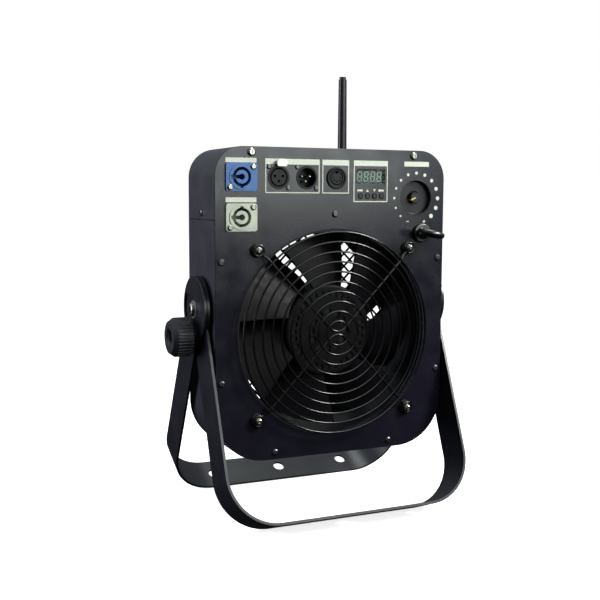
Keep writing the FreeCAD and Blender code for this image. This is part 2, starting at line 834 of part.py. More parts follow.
def guard_spoke(rise):
    """One V of the guard's cross: loop, leg, round bend at the middle, leg, loop.  rise = 1 or -1."""
    reach = size("guard_pitch") / 2
    wire = size("guard_spoke_radius")
    loop = size("standoff_radius") - 1.6
    low = size("standoff_height") + wire
    high = size("guard_spoke_out")
    shoulder = 71.5
    bend = size("guard_bend")
    bend_centre = Vector(0, size("guard_bend_gap") + bend, high)
    start = reach - loop * math.sqrt(0.5)
    rise_to_shoulder = shoulder - bend_centre.y
    slope = math.atan2(rise_to_shoulder, shoulder) + math.asin(bend / math.hypot(shoulder, rise_to_shoulder))
    bend_start = bend_centre + Vector(bend * math.sin(slope), -bend * math.cos(slope), 0)
    right_side = [
        Vector(start, start, low),
        Vector(shoulder + 4, shoulder + 4, low),
        Vector(shoulder, shoulder, high),
        bend_start,
    ]
    left_side = [Vector(-point.x, point.y, point.z) for point in right_side]
    solids = []
    for side in (right_side, left_side):
        for near, far in zip(side, side[1:]):
            along = far - near
            solids.append(Part.makeCylinder(wire, along.Length, near, along))
        solids += [Part.makeSphere(wire, point) for point in side[1:-1]]
    half_turn = math.degrees(slope)
    curve = Part.makeTorus(bend, wire, Vector(), Vector(0, 0, 1), 0, 360, 2 * half_turn)
    curve.rotate(Vector(), Vector(0, 0, 1), 270 - half_turn)
    curve.translate(bend_centre)
    solids.append(curve)
    for side_sign in (1, -1):
        solids.append(Part.makeTorus(loop, wire, Vector(side_sign * reach, reach, low), Vector(0, 0, 1)))
    spoke = solids[0].multiFuse(solids[1:])
    if rise < 0:
        spoke.rotate(Vector(), Vector(0, 0, 1), 180)
    return spoke


def make_guard():
    """Ten wire rings on a cross of two V-shaped spokes, whose loops sit on rubber standoffs."""
    rings = []
    for step in range(10):
        radius = size("guard_first_ring") + step * size("guard_ring_step")
        centre = Vector(0, 0, size("guard_ring_out"))
        rings.append(Part.makeTorus(radius, size("guard_wire_radius"), centre, Vector(0, 0, 1)))
    shape = guard_spoke(1).multiFuse([guard_spoke(-1)] + rings)
    place(set_shape("front_guard", shape), "front_guard", FACING, "0", "0", "fan_height")

    collar = Part.makeCylinder(size("standoff_radius"), size("standoff_height"))
    collar = collar.cut(Part.makeCylinder(size("big_screw") + 0.1, size("standoff_height")))
    standoffs = set_shape("guard_standoffs", copies(collar, spots(GUARD_SCREWS)))
    place(standoffs, "guard_standoffs", FACING)
    height = size("standoff_height") + 2 * size("guard_spoke_radius")
    screw = button_screw(size("big_screw"), size("big_head"), 2.8, 3.0, 16)
    places = [(x, y, height) for x, y, _ in spots(GUARD_SCREWS)]
    place(set_shape("guard_screws", copies(screw, places)), "guard_screws", FACING)
    nut = hex_nut(7.0, size("big_screw") + 0.05, 3.2)
    back = -size("panel_gauge") - 3.2
    nuts = set_shape("guard_nuts", copies(nut, [(x, y, back) for x, y, _ in spots(GUARD_SCREWS)]))
    place(nuts, "guard_nuts", FACING)


def make_outlet_grille():
    """Round grille of diagonal square mesh over the outlet at the back."""
    pitch = size("grille_pitch")
    opening = pitch - size("grille_strand")
    mesh = size("grille_mesh_radius")
    lean = Rotation(Vector(0, 0, 1), 45)
    reach = int(mesh / pitch) + 1
    windows = []
    for column in range(-reach, reach + 1):
        for line in range(-reach, reach + 1):
            centre = Vector((column - 0.1) * pitch, (line + 0.5) * pitch, 0)
            if centre.Length + opening * 0.75 > mesh:
                continue
            corners = [
                lean.multVec(centre + Vector(side * opening / 2, rise * opening / 2, 0))
                for side, rise in ((-1, -1), (-1, 1), (1, 1), (1, -1), (-1, -1))
            ]
            windows.append(Part.makePolygon(corners))
    rim = Part.Wire(Part.makeCircle(size("grille_radius")))
    plate = Part.Face([rim] + windows, "Part::FaceMakerBullseye").extrude(Vector(0, 0, size("grille_gauge")))
    places = [(x, y - size("fan_height"), 0) for x, y, _ in spots(grille_screw_places())]
    hole = Part.makeCylinder(size("small_screw") + 0.1, 4, Vector(0, 0, -1))
    plate = plate.cut(copies(hole, places))
    place(set_shape("outlet_grille", plate), "outlet_grille", FACING_BACK, "0", "housing_depth", "fan_height")


# ---------------------------------------------------------------- panel fittings

def make_mains_socket(label, row, key_side):
    """Round locking mains port in a rectangular flange; key_side places its second key, up or down."""
    body = new_body(label)
    flange = sketch_on(body)
    add_rounded_box(
        flange, "-mains_width / 2", "mains_width / 2", "-mains_tall / 2", "mains_tall / 2", "2.6", "2.6"
    )
    pad(body, flange, "2")
    boss = sketch_on(body, "XY_Plane", "2")
    add_circle(boss, "11.6", "-0.6")
    pad(body, boss, "0.6")
    barrel = sketch_on(body)
    add_circle(barrel, "11.7")
    pad(body, barrel, "24", backwards=True)
    port = sketch_on(body, "XY_Plane", "2.6")
    add_circle(port, "9.1")
    add_circle(port, "6.3")
    pocket(body, port, "16")
    keyway = sketch_on(body, "XY_Plane", "2.6")
    add_box(keyway, "-10.6", "-1", "-1.7", "1.7")
    pocket(body, keyway, "12")
    heart = sketch_on(body, "XY_Plane", "2.6")
    add_circle(heart, "2.9")
    pocket(body, heart, "12")
    second_key = sketch_on(body, "XY_Plane", "2.6")
    low, high = ("6.6", "10.4") if key_side > 0 else ("-10.4", "-6.6")
    add_box(second_key, "-1.5", "1.5", low, high)
    pocket(body, second_key, "12")
    screws = [
        (SMALL_HOLE, "mains_screw_x", "mains_screw_y"),
        (SMALL_HOLE, "-mains_screw_x", "-mains_screw_y"),
    ]
    cut_circles(body, screws, "2.6", "2.6")
    place(body, label, FACING, "-mains_x", "0", row)


def make_mains_fittings():
    make_mains_socket("mains_inlet", "socket_row", -1)
    make_mains_socket("mains_outlet", "mains_outlet_row", 1)
    tag = Part.makeBox(0.8, 4.8, 9, Vector(-0.4, -2.4, -24.1 - 9))
    tags = []
    screws = []
    screw = pan_screw(size("small_screw"), 2.7, 1.6, 9)
    for row in (size("socket_row"), size("mains_outlet_row")):
        for step in (-1, 0, 1):
            tags.append((-size("mains_x") + 6.5 * step, row, 0))
        for sign in (1, -1):
            x = -size("mains_x") + sign * size("mains_screw_x")
            screws.append((x, row + sign * size("mains_screw_y"), 2.0))
    place(set_shape("mains_contacts", copies(tag, tags)), "mains_contacts", FACING)
    place(set_shape("mains_socket_screws", copies(screw, screws)), "mains_socket_screws", FACING)


def make_data_socket(label, column):
    """Rear-mounted round data connector: a flange behind the panel and a barrel through it."""
    body = new_body(label)
    flange = sketch_on(body, "XY_Plane", "-panel_gauge")
    add_rounded_box(flange, "-13", "13", "-15.2", "15.2", "2", "2")
    pad(body, flange, "1.5", backwards=True)
    barrel = sketch_on(body, "XY_Plane", "0.6")
    add_circle(barrel, "data_radius")
    pad(body, barrel, "22", backwards=True)
    screws = [
        (SMALL_HOLE, "-data_screw_offset", "data_screw_offset"),
        (SMALL_HOLE, "data_screw_offset", "-data_screw_offset"),
    ]
    cut_circles(body, screws, "1.5", "-panel_gauge")
    return body


def make_data_fittings():
    contact_places = [("-4.1", "1.2"), ("4.1", "1.2"), ("0", "-3.6")]
    outlet = make_data_socket("data_out_socket", "data_out_x")
    groove = sketch_on(outlet, "XY_Plane", "0.6")
    add_circle(groove, "8.9")
    add_circle(groove, "7.5")
    pocket(outlet, groove, "8")
    cut_circles(outlet, holes("1.3", contact_places), "12", "0.6")
    slot = sketch_on(outlet, "XY_Plane", "-panel_gauge")
    add_box(slot, "-2.5", "6.5", "11", "16")
    pocket(outlet, slot, "1.5")
    place(outlet, "data_out_socket", FACING, "-data_out_x", "0", "socket_row")

    inlet = make_data_socket("data_in_socket", "data_in_x")
    cut_circles(inlet, [("9.2", "0", "0")], "12", "0.6")
    place(inlet, "data_in_socket", FACING, "-data_in_x", "0", "socket_row")

    pin_shape = Part.makeCylinder(1.2, 8.3).fuse(Part.makeSphere(1.2, Vector(0, 0, 8.3)))
    sleeve = Part.makeCylinder(1.2, 5).cut(Part.makeCylinder(0.8, 4, Vector(0, 0, 1)))
    pins = [(-number(x) - size("data_in_x"), number(y), -11.4) for x, y in contact_places]
    sleeves = [(number(x) - size("data_out_x"), number(y), -11.4) for x, y in contact_places]
    contacts = Part.makeCompound([copies(pin_shape, pins), copies(sleeve, sleeves)])
    place(set_shape("data_contacts", contacts), "data_contacts", FACING, "0", "0", "socket_row")

    screw = pan_screw(size("small_screw"), 2.4, 1.5, 8)
    offset = size("data_screw_offset")
    places = []
    for column in (size("data_out_x"), size("data_in_x")):
        for sign in (1, -1):
            places.append((sign * offset - column, size("socket_row") - sign * offset, 0))
    place(set_shape("data_socket_screws", copies(screw, places)), "data_socket_screws", FACING)

    latch = new_body("data_out_latch")
    cap = sketch_on(latch, "XY_Plane", "4.4")
    add_rounded_box(cap, "-5", "5", "-3.5", "3.5", "2", "3.2")
    pad(latch, cap, "2.2", backwards=True)
    stem = sketch_on(latch, "XY_Plane", "2")
    add_box(stem, "-3.7", "3.7", "-2.2", "2")
    pad(latch, stem, "7.5", backwards=True)
    place(latch, "data_out_latch", FACING, "-data_out_x + 2", "0", "socket_row + 13.8")


def make_remote_socket():
    body = new_body("remote_socket")
    barrel = sketch_on(body, "XY_Plane", "0.9")
    add_circle(barrel, "7.9")
    pad(body, barrel, "17", backwards=True)
    collar = sketch_on(body, "XY_Plane", "-panel_gauge")
    add_circle(collar, "10")
    pad(body, collar, "2", backwards=True)
    groove = sketch_on(body, "XY_Plane", "0.9")
    add_circle(groove, "6.9")
    add_circle(groove, "5.9")
    pocket(body, groove, "7")
    spread = []
    for angle in (0, 45, 90, 135, 180):
        x = f"{-3.9 * math.cos(math.radians(angle)):.3f}"
        y = f"{-3.9 * math.sin(math.radians(angle)) + 0.6:.3f}"
        spread.append(("0.75", x, y))
    cut_circles(body, spread, "8", "0.9")
    key = sketch_on(body, "XY_Plane", "0.9")
    add_box(key, "-1.2", "1.2", "4.2", "6.4")
    pocket(body, key, "7")
    place(body, "remote_socket", FACING, "remote_x", "0", "socket_row")
    nut = turned("remote_socket_nut", [
        ("8", "0"),
        ("remote_radius", "0"),
        ("remote_radius", "0.8"),
        ("remote_radius - 0.8", "1.7"),
        ("9", "1.7"),
        ("8", "1"),
    ])
    place(nut, "remote_socket_nut", FACING, "remote_x", "0", "socket_row")


def make_display():
    window = new_body("display_window")
    pane = sketch_on(window, "XY_Plane", "-0.5")
    add_box(
        pane,
        "0.1 - display_width / 2",
        "display_width / 2 - 0.1",
        "0.1 - display_tall / 2",
        "display_tall / 2 - 0.1",
    )
    pad(window, pane, "1.4", backwards=True)
    place(window, "display_window", FACING, "display_x", "0", "display_row")
    case = block("display_width + 2", "display_tall + 3", "8", "0", "0", "-10.1")
    recess = block("display_width - 2", "display_tall - 2", "0.6", "0", "0", "-2.7")
    place(minus(case, recess), "display_module", FACING, "display_x", "0", "display_row")
    for label, (x, y) in zip(("menu_button", "up_button", "down_button", "enter_button"), BUTTONS):
        button = turned(label, [
            ("0", "-5.2"),
            ("1.4", "-5.2"),
            ("1.4", "-3.6"),
            ("3.5", "-3.6"),
            ("3.5", "-2.5"),
            ("button_radius", "-2.5"),
            ("button_radius", "0.2"),
            ("button_radius - 0.4", "0.6"),
            ("0", "0.6"),
        ])
        place(button, label, FACING, x, "0", y)
    switch = Part.makeBox(6, 6, 3.4, Vector(-3, -3, -10.1))
    switch = switch.fuse(Part.makeCylinder(1.7, 0.6, Vector(0, 0, -6.7)))
    place(set_shape("button_switches", copies(switch, spots(BUTTONS))), "button_switches", FACING)
    board = block("52", "42", "1.6", "display_x", "display_row - 9", "-11.8")
    corners = [
        drum("1.6", "4", f"display_x {side} 23", f"display_row - 9 {rise} 18", "-13")
        for side in ("+", "-")
        for rise in ("+", "-")
    ]
    place(minus(board, *corners), "control_board", FACING)


def make_dial():
    cup = turned("dial_cup", [
        ("dial_hole", "-dial_depth - 1.5"),
        ("dial_radius", "-dial_depth - 1.5"),
        ("dial_radius", "0"),
        ("dial_radius - 1.1", "0"),
        ("dial_radius - 1.3", "1 - dial_depth"),
        ("dial_radius - 2.3", "-dial_depth"),
        ("dial_hole", "-dial_depth"),
    ])
    place(cup, "dial_cup", FACING, "dial_x", "0", "dial_row")
    control = turned("speed_potentiometer", [
        ("3.05", "-20"),
        ("8.5", "-20"),
        ("8.5", "-dial_depth - 1.6"),
        ("3.5", "-dial_depth - 1.6"),
        ("3.5", "-dial_depth - 1.2"),
        ("3.05", "-dial_depth - 1.2"),
    ])
    place(control, "speed_potentiometer", FACING, "dial_x", "0", "dial_row")
    spindle = rod("speed_spindle", "3", "15.5", "-19")
    place(spindle, "speed_spindle", FACING, "dial_x", "0", "dial_row")
    knob = turned("speed_knob", [
        ("3", "-dial_depth - 0.9"),
        ("5.8", "-dial_depth - 0.9"),
        ("5.5", "-1.7"),
        ("5", "-1.2"),
        ("0", "-1.2"),
        ("0", "-3.5"),
        ("3", "-3.5"),
    ])
    slot = sketch_on(knob, "XY_Plane", "-1.2")
    add_box(slot, "-0.7", "0.7", "-0.4", "4.8")
    pocket(knob, slot, "0.4")
    lean = FACING.multiply(Rotation(Vector(0, 0, 1), 114))
    place(knob, "speed_knob", lean, "dial_x", "0", "dial_row")


def make_safety_eye():
    """Forged eye bolt on a washer: a flat collar, a tapering neck and a ring turned a little off level."""
    thread = size("eye_screw_radius")
    washer_top = size("eye_washer")
    collar_top = washer_top + size("eye_collar")
    nut_low = -size("panel_gauge") - size("eye_nut")
    wire = size("eye_wire_radius")
    eye = Part.makeTorus(size("eye_ring_radius"), wire, Vector(0, 0, size("eye_centre_out")), Vector(0, 1, 0))
    eye.rotate(Vector(), Vector(0, 0, 1), -size("eye_turn"))
    neck_top = size("eye_centre_out") - size("eye_ring_radius")
    neck = Part.makeCone(thread * 2, wire, neck_top - collar_top, Vector(0, 0, collar_top))
    collar = Part.makeCylinder(size("eye_collar_radius"), size("eye_collar"), Vector(0, 0, washer_top))
    collar = collar.makeFillet(0.8, [collar.Edges[0]])
    stem_low = nut_low - thread
    stem = Part.makeCylinder(thread, collar_top - stem_low, Vector(0, 0, stem_low))
    shape = stem.multiFuse([collar, neck, eye]).removeSplitter()
    place(set_shape("safety_eye", shape), "safety_eye", FACING, "eye_x", "0", "eye_row")
    washer = ring("safety_eye_washer", "eye_screw_radius + 0.1", "eye_collar_radius - 0.6", "eye_washer")
    place(washer, "safety_eye_washer", FACING, "eye_x", "0", "eye_row")
    nut = copies(hex_nut(10, thread + 0.05, size("eye_nut")), [(0, 0, nut_low)])
    place(set_shape("safety_eye_nut", nut), "safety_eye_nut", FACING, "eye_x", "0", "eye_row")


# ---------------------------------------------------------------- aerial

def make_aerial():
    """A plug-in aerial with a swivel elbow on the rear panel and a whip that tilts in the elbow."""
    connector = turned("aerial_connector", [
        ("0", "-8"),
        ("3.2", "-8"),
        ("3.2", "0"),
        ("6", "0"),
        ("6", "2"),
        ("3.1", "2"),
        ("3.1", "3.4"),
        ("0", "3.4"),
    ])
    place(connector, "aerial_connector", FACING_BACK, "aerial_x", "housing_depth", "aerial_row")
    collar = joined(
        drum("4.8", "4.2", "0", "-4.2 - 3.6", "0", FACING_BACK),
        block("8.6", "4.6", "8.4", "0", "-1.9", "-4.2"),
        drum("4.2", "8.6", "-4.3", "0", "0", FACING_RIGHT),
    )
    slot = joined(
        block("4.4", "12", "12", "0", "2.4", "-6"),
        drum("1.25", "12", "-6", "0", "0", FACING_RIGHT),
    )
    elbow = minus(collar, slot, drum("3.2", "1.4", "0", "-7.8", "0", FACING_BACK))
    place(elbow, "aerial_elbow", STANDING, "aerial_x", "aerial_out", "aerial_row")
    hinge_pin = rod("aerial_pin", "1.2", "8.6", "-4.3")
    place(hinge_pin, "aerial_pin", FACING_RIGHT, "aerial_x", "aerial_out", "aerial_row")
    tongue = minus(
        joined(
            drum("3.4", "4.2", "-2.1", "0", "0", FACING_RIGHT),
            block("4.2", "6", "8", "0", "0", "0"),
        ),
        drum("1.25", "12", "-6", "0", "0", FACING_RIGHT),
    )
    whip_profile = doc.addObject("Part::Cone", "whip")
    bind(whip_profile, "Radius1", "aerial_radius")
    bind(whip_profile, "Radius2", "aerial_tip_radius")
    bind(whip_profile, "Height", "aerial_length - 8 - 2")
    bind(whip_profile, "Placement.Base.z", "7.2")
    tip = drum("aerial_tip_radius - 0.8", "3", "0", "0", "aerial_length - 3")
    place(joined(tongue, whip_profile, tip), "aerial_whip", STANDING, "aerial_x", "aerial_out", "aerial_row")


# ---------------------------------------------------------------- brackets

def arc_slot(sketch, start, finish):
    """A curved slot of the lock stud's path, from start to finish degrees, about the sketch's origin."""
    middle = number("lock_drop")
    half = number("lock_stud + lock_play")
    axis = Vector(0, 0, 1)
    angles = [math.radians(number(start)), math.radians(number(finish))]
    outer = Part.ArcOfCircle(Part.Circle(Vector(), axis, middle + half), *angles)
    inner = Part.ArcOfCircle(Part.Circle(Vector(), axis, middle - half), *angles)
    far_centre, near_centre = (
        Vector(middle * math.cos(angle), middle * math.sin(angle), 0) for angle in reversed(angles)
    )
    far_end = Part.ArcOfCircle(Part.Circle(far_centre, axis, half), angles[1], angles[1] + math.pi)
    near_end = Part.ArcOfCircle(Part.Circle(near_centre, axis, half), angles[0] + math.pi, angles[0] + 2 * math.pi)
    for arc in (outer, inner, far_end, near_end):
        sketch.addGeometry(arc)
    for centre in (far_centre, near_centre):
        guide = sketch.addGeometry(Part.LineSegment(Vector(), centre), True)
        sketch.addConstraint(Sketcher.Constraint("Coincident", guide, 1, -1, 1))
    for arc in (0, 1):
        sketch.addConstraint(Sketcher.Constraint("Coincident", arc, 3, -1, 1))
    sketch.addConstraint(Sketcher.Constraint("Tangent", 0, 2, 2, 1))
    sketch.addConstraint(Sketcher.Constraint("Tangent", 2, 2, 1, 2))
    sketch.addConstraint(Sketcher.Constraint("Tangent", 1, 1, 3, 1))
    sketch.addConstraint(Sketcher.Constraint("Tangent", 3, 2, 0, 1))
    sketch.addConstraint(Sketcher.Constraint("Coincident", 4, 2, 2, 3))
    sketch.addConstraint(Sketcher.Constraint("Coincident", 5, 2, 3, 3))
    hold(sketch, Sketcher.Constraint("Radius", 0, middle + half), "lock_drop + lock_stud + lock_play")
    hold(sketch, Sketcher.Constraint("Radius", 1, middle - half), "lock_drop - lock_stud - lock_play")
    return sketch


def make_bracket(label, face, length, bend, lean, slot_start, slot_finish):
    """A flat strap bent into a U whose arms end in discs on the pivot; its foot is the bottom of the U."""
    body = new_body(label)
    outer = sketch_on(body, "XZ_Plane")
    add_rounded_box(outer, f"-{face}", face, f"-{length}", "1", bend, "0.4")
    pad_both_ways(body, outer, "bracket_width")
    inner = sketch_on(body, "XZ_Plane", "-bracket_width / 2 - 1")
    add_rounded_box(
        inner,
        f"bracket_gauge - {face}",
        f"{face} - bracket_gauge",
        f"bracket_gauge - {length}",
        "3",
        f"{bend} - bracket_gauge",
        "0.4",
    )
    pocket(body, inner, "bracket_width + 2", backwards=True)
    for height, backwards in ((face, True), (f"-{face}", False)):
        disc = sketch_on(body, "YZ_Plane", height)
        add_circle(disc, "bracket_disc")
        pad(body, disc, "bracket_gauge", backwards)
    bore = sketch_on(body, "YZ_Plane", face)
    add_circle(bore, "pivot_radius + pivot_play")
    pocket(body, bore, f"2 * {face}")
    slot = arc_slot(sketch_on(body, "YZ_Plane", f"bracket_gauge - {face}"), slot_start, slot_finish)
    pocket(body, slot, "bracket_gauge")
    hang_holes = [("hang_hole_radius", x, "0") for x in ("-hang_hole_x", "0", "hang_hole_x")]
    cut_circles(body, hang_holes, "bracket_gauge", f"bracket_gauge - {length}")
    place(body, label, Rotation(Vector(1, 0, 0), lean), "0", "pivot_back", "pivot_height")


def make_brackets():
    front_turn = -size("front_bracket_lean")
    rear_turn = size("rear_bracket_lean")
    make_bracket(
        "front_bracket", "inner_bracket_face", "front_bracket_length", "front_bracket_bend", front_turn,
        "-90 + front_bracket_lean - bracket_swing", "-90 + front_bracket_lean",
    )
    make_bracket(
        "rear_bracket", "outer_bracket_face", "rear_bracket_length", "rear_bracket_bend", rear_turn,
        "-90 - rear_bracket_lean", "-90 - rear_bracket_lean + bracket_swing",
    )


def both_sides(shape, reach):
    """A part drawn pointing along +z, put on the right and the left at a distance from the middle."""
    pair = []
    for turn, sign in ((FACING_RIGHT, 1), (FACING_LEFT, -1)):
        one = shape.copy()
        one.Placement = Placement(Vector(sign * reach, 0, 0), turn)
        pair.append(one)
    return Part.makeCompound(pair)


def washer_shape(inner, outer, gauge):
    return Part.makeCylinder(outer, gauge).cut(Part.makeCylinder(inner, gauge))


def make_pivots():
    wall = size("housing_width") / 2
    bore = size("pivot_radius") + size("screw_play")
    head_seat = size("outer_bracket_face") + size("head_washer")
    shank_length = head_seat - wall + size("shell_gauge") + 8
    head = Part.makeCylinder(size("bolt_head_radius"), size("bolt_head"))
    head = head.makeFillet(1.6, [edge for edge in head.Edges if edge.BoundBox.ZMin > size("bolt_head") - 0.01])
    key_depth = 2.2
    bolt = head.cut(hexagon(5, key_depth, size("bolt_head") - key_depth)).fuse(
        Part.makeCylinder(size("pivot_radius"), shank_length, Vector(0, 0, -shank_length))
    )
    spacer_radius = 12
    between_radius = 14
    under_head_radius = 9
    nut_height = 6
    spacers = both_sides(washer_shape(bore, spacer_radius, size("spacer_gauge")), wall)
    lock_spacer = washer_shape(size("lock_stud") + 0.1, 6.5, size("spacer_gauge"))
    lock_spacer.Placement = Placement(Vector(-wall, 0, -size("lock_drop")), FACING_LEFT)
    between = both_sides(washer_shape(bore, between_radius, size("washer_gauge")), size("inner_bracket_face"))
    under_head = both_sides(washer_shape(bore, under_head_radius, size("head_washer")), size("outer_bracket_face"))
    nut = hex_nut(13, size("pivot_radius") + 0.05, nut_height)
    pieces = {
        "pivot_bolts": both_sides(bolt, head_seat),
        "bracket_spacers": Part.makeCompound([spacers, lock_spacer]),
        "pivot_washers": Part.makeCompound([between, under_head]),
        "pivot_nuts": both_sides(nut, wall - size("shell_gauge") - nut_height),
    }
    for label, shape in pieces.items():
        place(set_shape(label, shape), label, STANDING, "0", "pivot_back", "pivot_height")


def make_lock_knob():
    """Ribbed clamp knob on the left; its stud passes both brackets' slots into the housing."""
    knob = turned("lock_knob", [
        ("lock_stud", "0.1"),
        ("10", "0.1"),
        ("10", "knob_boss"),
        ("knob_radius - 1.5", "knob_boss"),
        ("knob_radius", "knob_boss + 1.5"),
        ("knob_radius", "knob_boss + knob_length - 5"),
        ("knob_radius - 3.5", "knob_boss + knob_length"),
        ("9", "knob_boss + knob_length"),
        ("7", "knob_boss + knob_length - 2.5"),
        ("6.5", "knob_boss + knob_length - 7"),
        ("lock_stud", "knob_boss + knob_length - 7"),
    ])
    notch = sketch_on(knob, "XY_Plane", "knob_boss + knob_length - 4")
    add_circle(notch, "1", "knob_radius + 0.25")
    first_notch = pocket(knob, notch, "knob_length - 4 + 1")
    doc.recompute()
    pattern = knob.newObject("PartDesign::PolarPattern", "knob_ribs")
    pattern.Originals = [first_notch]
    pattern.Angle = 360
    pattern.Occurrences = 36
    knob.Tip = pattern
    pattern.Axis = (next(item for item in knob.Origin.OriginFeatures if item.Role == "Z_Axis"), [""])
    lock_place = ("-outer_bracket_face", "pivot_back", "pivot_height - lock_drop")
    place(knob, "lock_knob", FACING_LEFT, *lock_place)
    stud = rod("lock_stud", "lock_stud", "knob_boss + knob_length + 11", "-20")
    place(stud, "lock_stud", FACING_LEFT, *lock_place)
    insert = ring("lock_insert", "lock_stud + 0.05", "6", "7")
    place(insert, "lock_insert", FACING_RIGHT, "shell_gauge - housing_width / 2", *lock_place[1:])


# ---------------------------------------------------------------- electronics

def make_electronics():
    """Boards in the bay above the fan: the supply and the radio receiver stand on the rear panel."""
    supply_back = "housing_depth - panel_gauge - 6"
    board = block("96", "1.6", "50", "0", "0", "0")
    pillars = [
        drum("1.6", "4", f"{x}", "-2", f"{z}", FACING_BACK)
        for x in ("-44", "44")
        for z in ("4", "46")
    ]
    supply = joined(
        minus(board, *pillars),
        block("26", "18", "28", "-26", "-9.6", "14"),
        drum("8", "22", "6", "-8.6", "14"),
        drum("8", "22", "26", "-8.6", "14"),
        block("30", "10", "10", "16", "-5.6", "2"),
    )
    place(supply, "power_supply_board", STANDING, "-42", supply_back, "233")
    radio = joined(
        block("34", "1.6", "26", "0", "0", "0"),
        block("16", "2.4", "12", "0", "-2", "7"),
    )
    place(radio, "radio_receiver_board", STANDING, "aerial_x + 26", supply_back, "aerial_row - 18")


# ---------------------------------------------------------------- build, check and write

make_front_panel()
make_rear_panel()
make_top_cover()
make_lower_shell()
make_housing_screws()
make_fan_duct()
make_impeller()
make_motor()
make_guard()
make_outlet_grille()
make_mains_fittings()
make_data_fittings()
make_remote_socket()
make_display()
make_dial()
make_safety_eye()
make_aerial()
make_brackets()
make_pivots()
make_lock_knob()
make_electronics()
doc.recompute()

for item in doc.Objects:
    if "Invalid" in item.State or "Error" in item.State:
        raise RuntimeError(f"{item.Label} failed: {item.State}")
    if item.TypeId in ("PartDesign::Pocket", "PartDesign::Groove"):
        before = item.BaseFeature.Shape.Volume
        if not item.Shape.Volume < before - 0.01:
            raise RuntimeError(f"{item.Label} cuts nothing")
for node in nodes:
    if node.Shape.isNull() or not node.Shape.isValid():
        raise RuntimeError(f"{node.Label} has no valid shape")

os.makedirs("parts", exist_ok=True)
for node in nodes:
    node.Shape.exportStep(f"parts/{node.Label}.step")
print(len(nodes), "sub-parts written")
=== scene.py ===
import json
import math

import bmesh
import bpy
from mathutils import Matrix, Vector


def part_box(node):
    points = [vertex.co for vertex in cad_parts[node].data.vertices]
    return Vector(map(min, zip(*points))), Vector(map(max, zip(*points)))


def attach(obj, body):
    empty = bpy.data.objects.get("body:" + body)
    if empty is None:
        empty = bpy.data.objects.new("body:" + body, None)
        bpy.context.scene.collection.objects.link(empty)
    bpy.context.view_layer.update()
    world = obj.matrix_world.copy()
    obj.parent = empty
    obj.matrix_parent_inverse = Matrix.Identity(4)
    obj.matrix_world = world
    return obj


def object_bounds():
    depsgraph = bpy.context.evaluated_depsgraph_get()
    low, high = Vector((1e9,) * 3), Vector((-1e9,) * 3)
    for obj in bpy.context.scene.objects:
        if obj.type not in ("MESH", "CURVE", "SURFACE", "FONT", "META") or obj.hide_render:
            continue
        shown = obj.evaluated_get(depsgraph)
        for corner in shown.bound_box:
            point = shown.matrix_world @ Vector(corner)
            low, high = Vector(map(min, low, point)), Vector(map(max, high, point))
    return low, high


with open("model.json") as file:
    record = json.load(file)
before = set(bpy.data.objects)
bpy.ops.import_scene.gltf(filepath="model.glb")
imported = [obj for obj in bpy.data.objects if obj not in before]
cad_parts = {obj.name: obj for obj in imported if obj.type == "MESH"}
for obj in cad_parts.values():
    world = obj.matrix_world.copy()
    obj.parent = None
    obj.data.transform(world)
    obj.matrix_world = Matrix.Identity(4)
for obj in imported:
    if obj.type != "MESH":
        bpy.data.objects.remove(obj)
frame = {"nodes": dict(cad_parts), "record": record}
cad_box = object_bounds()
MM = 0.001


# ---------------------------------------------------------------- node graph helpers

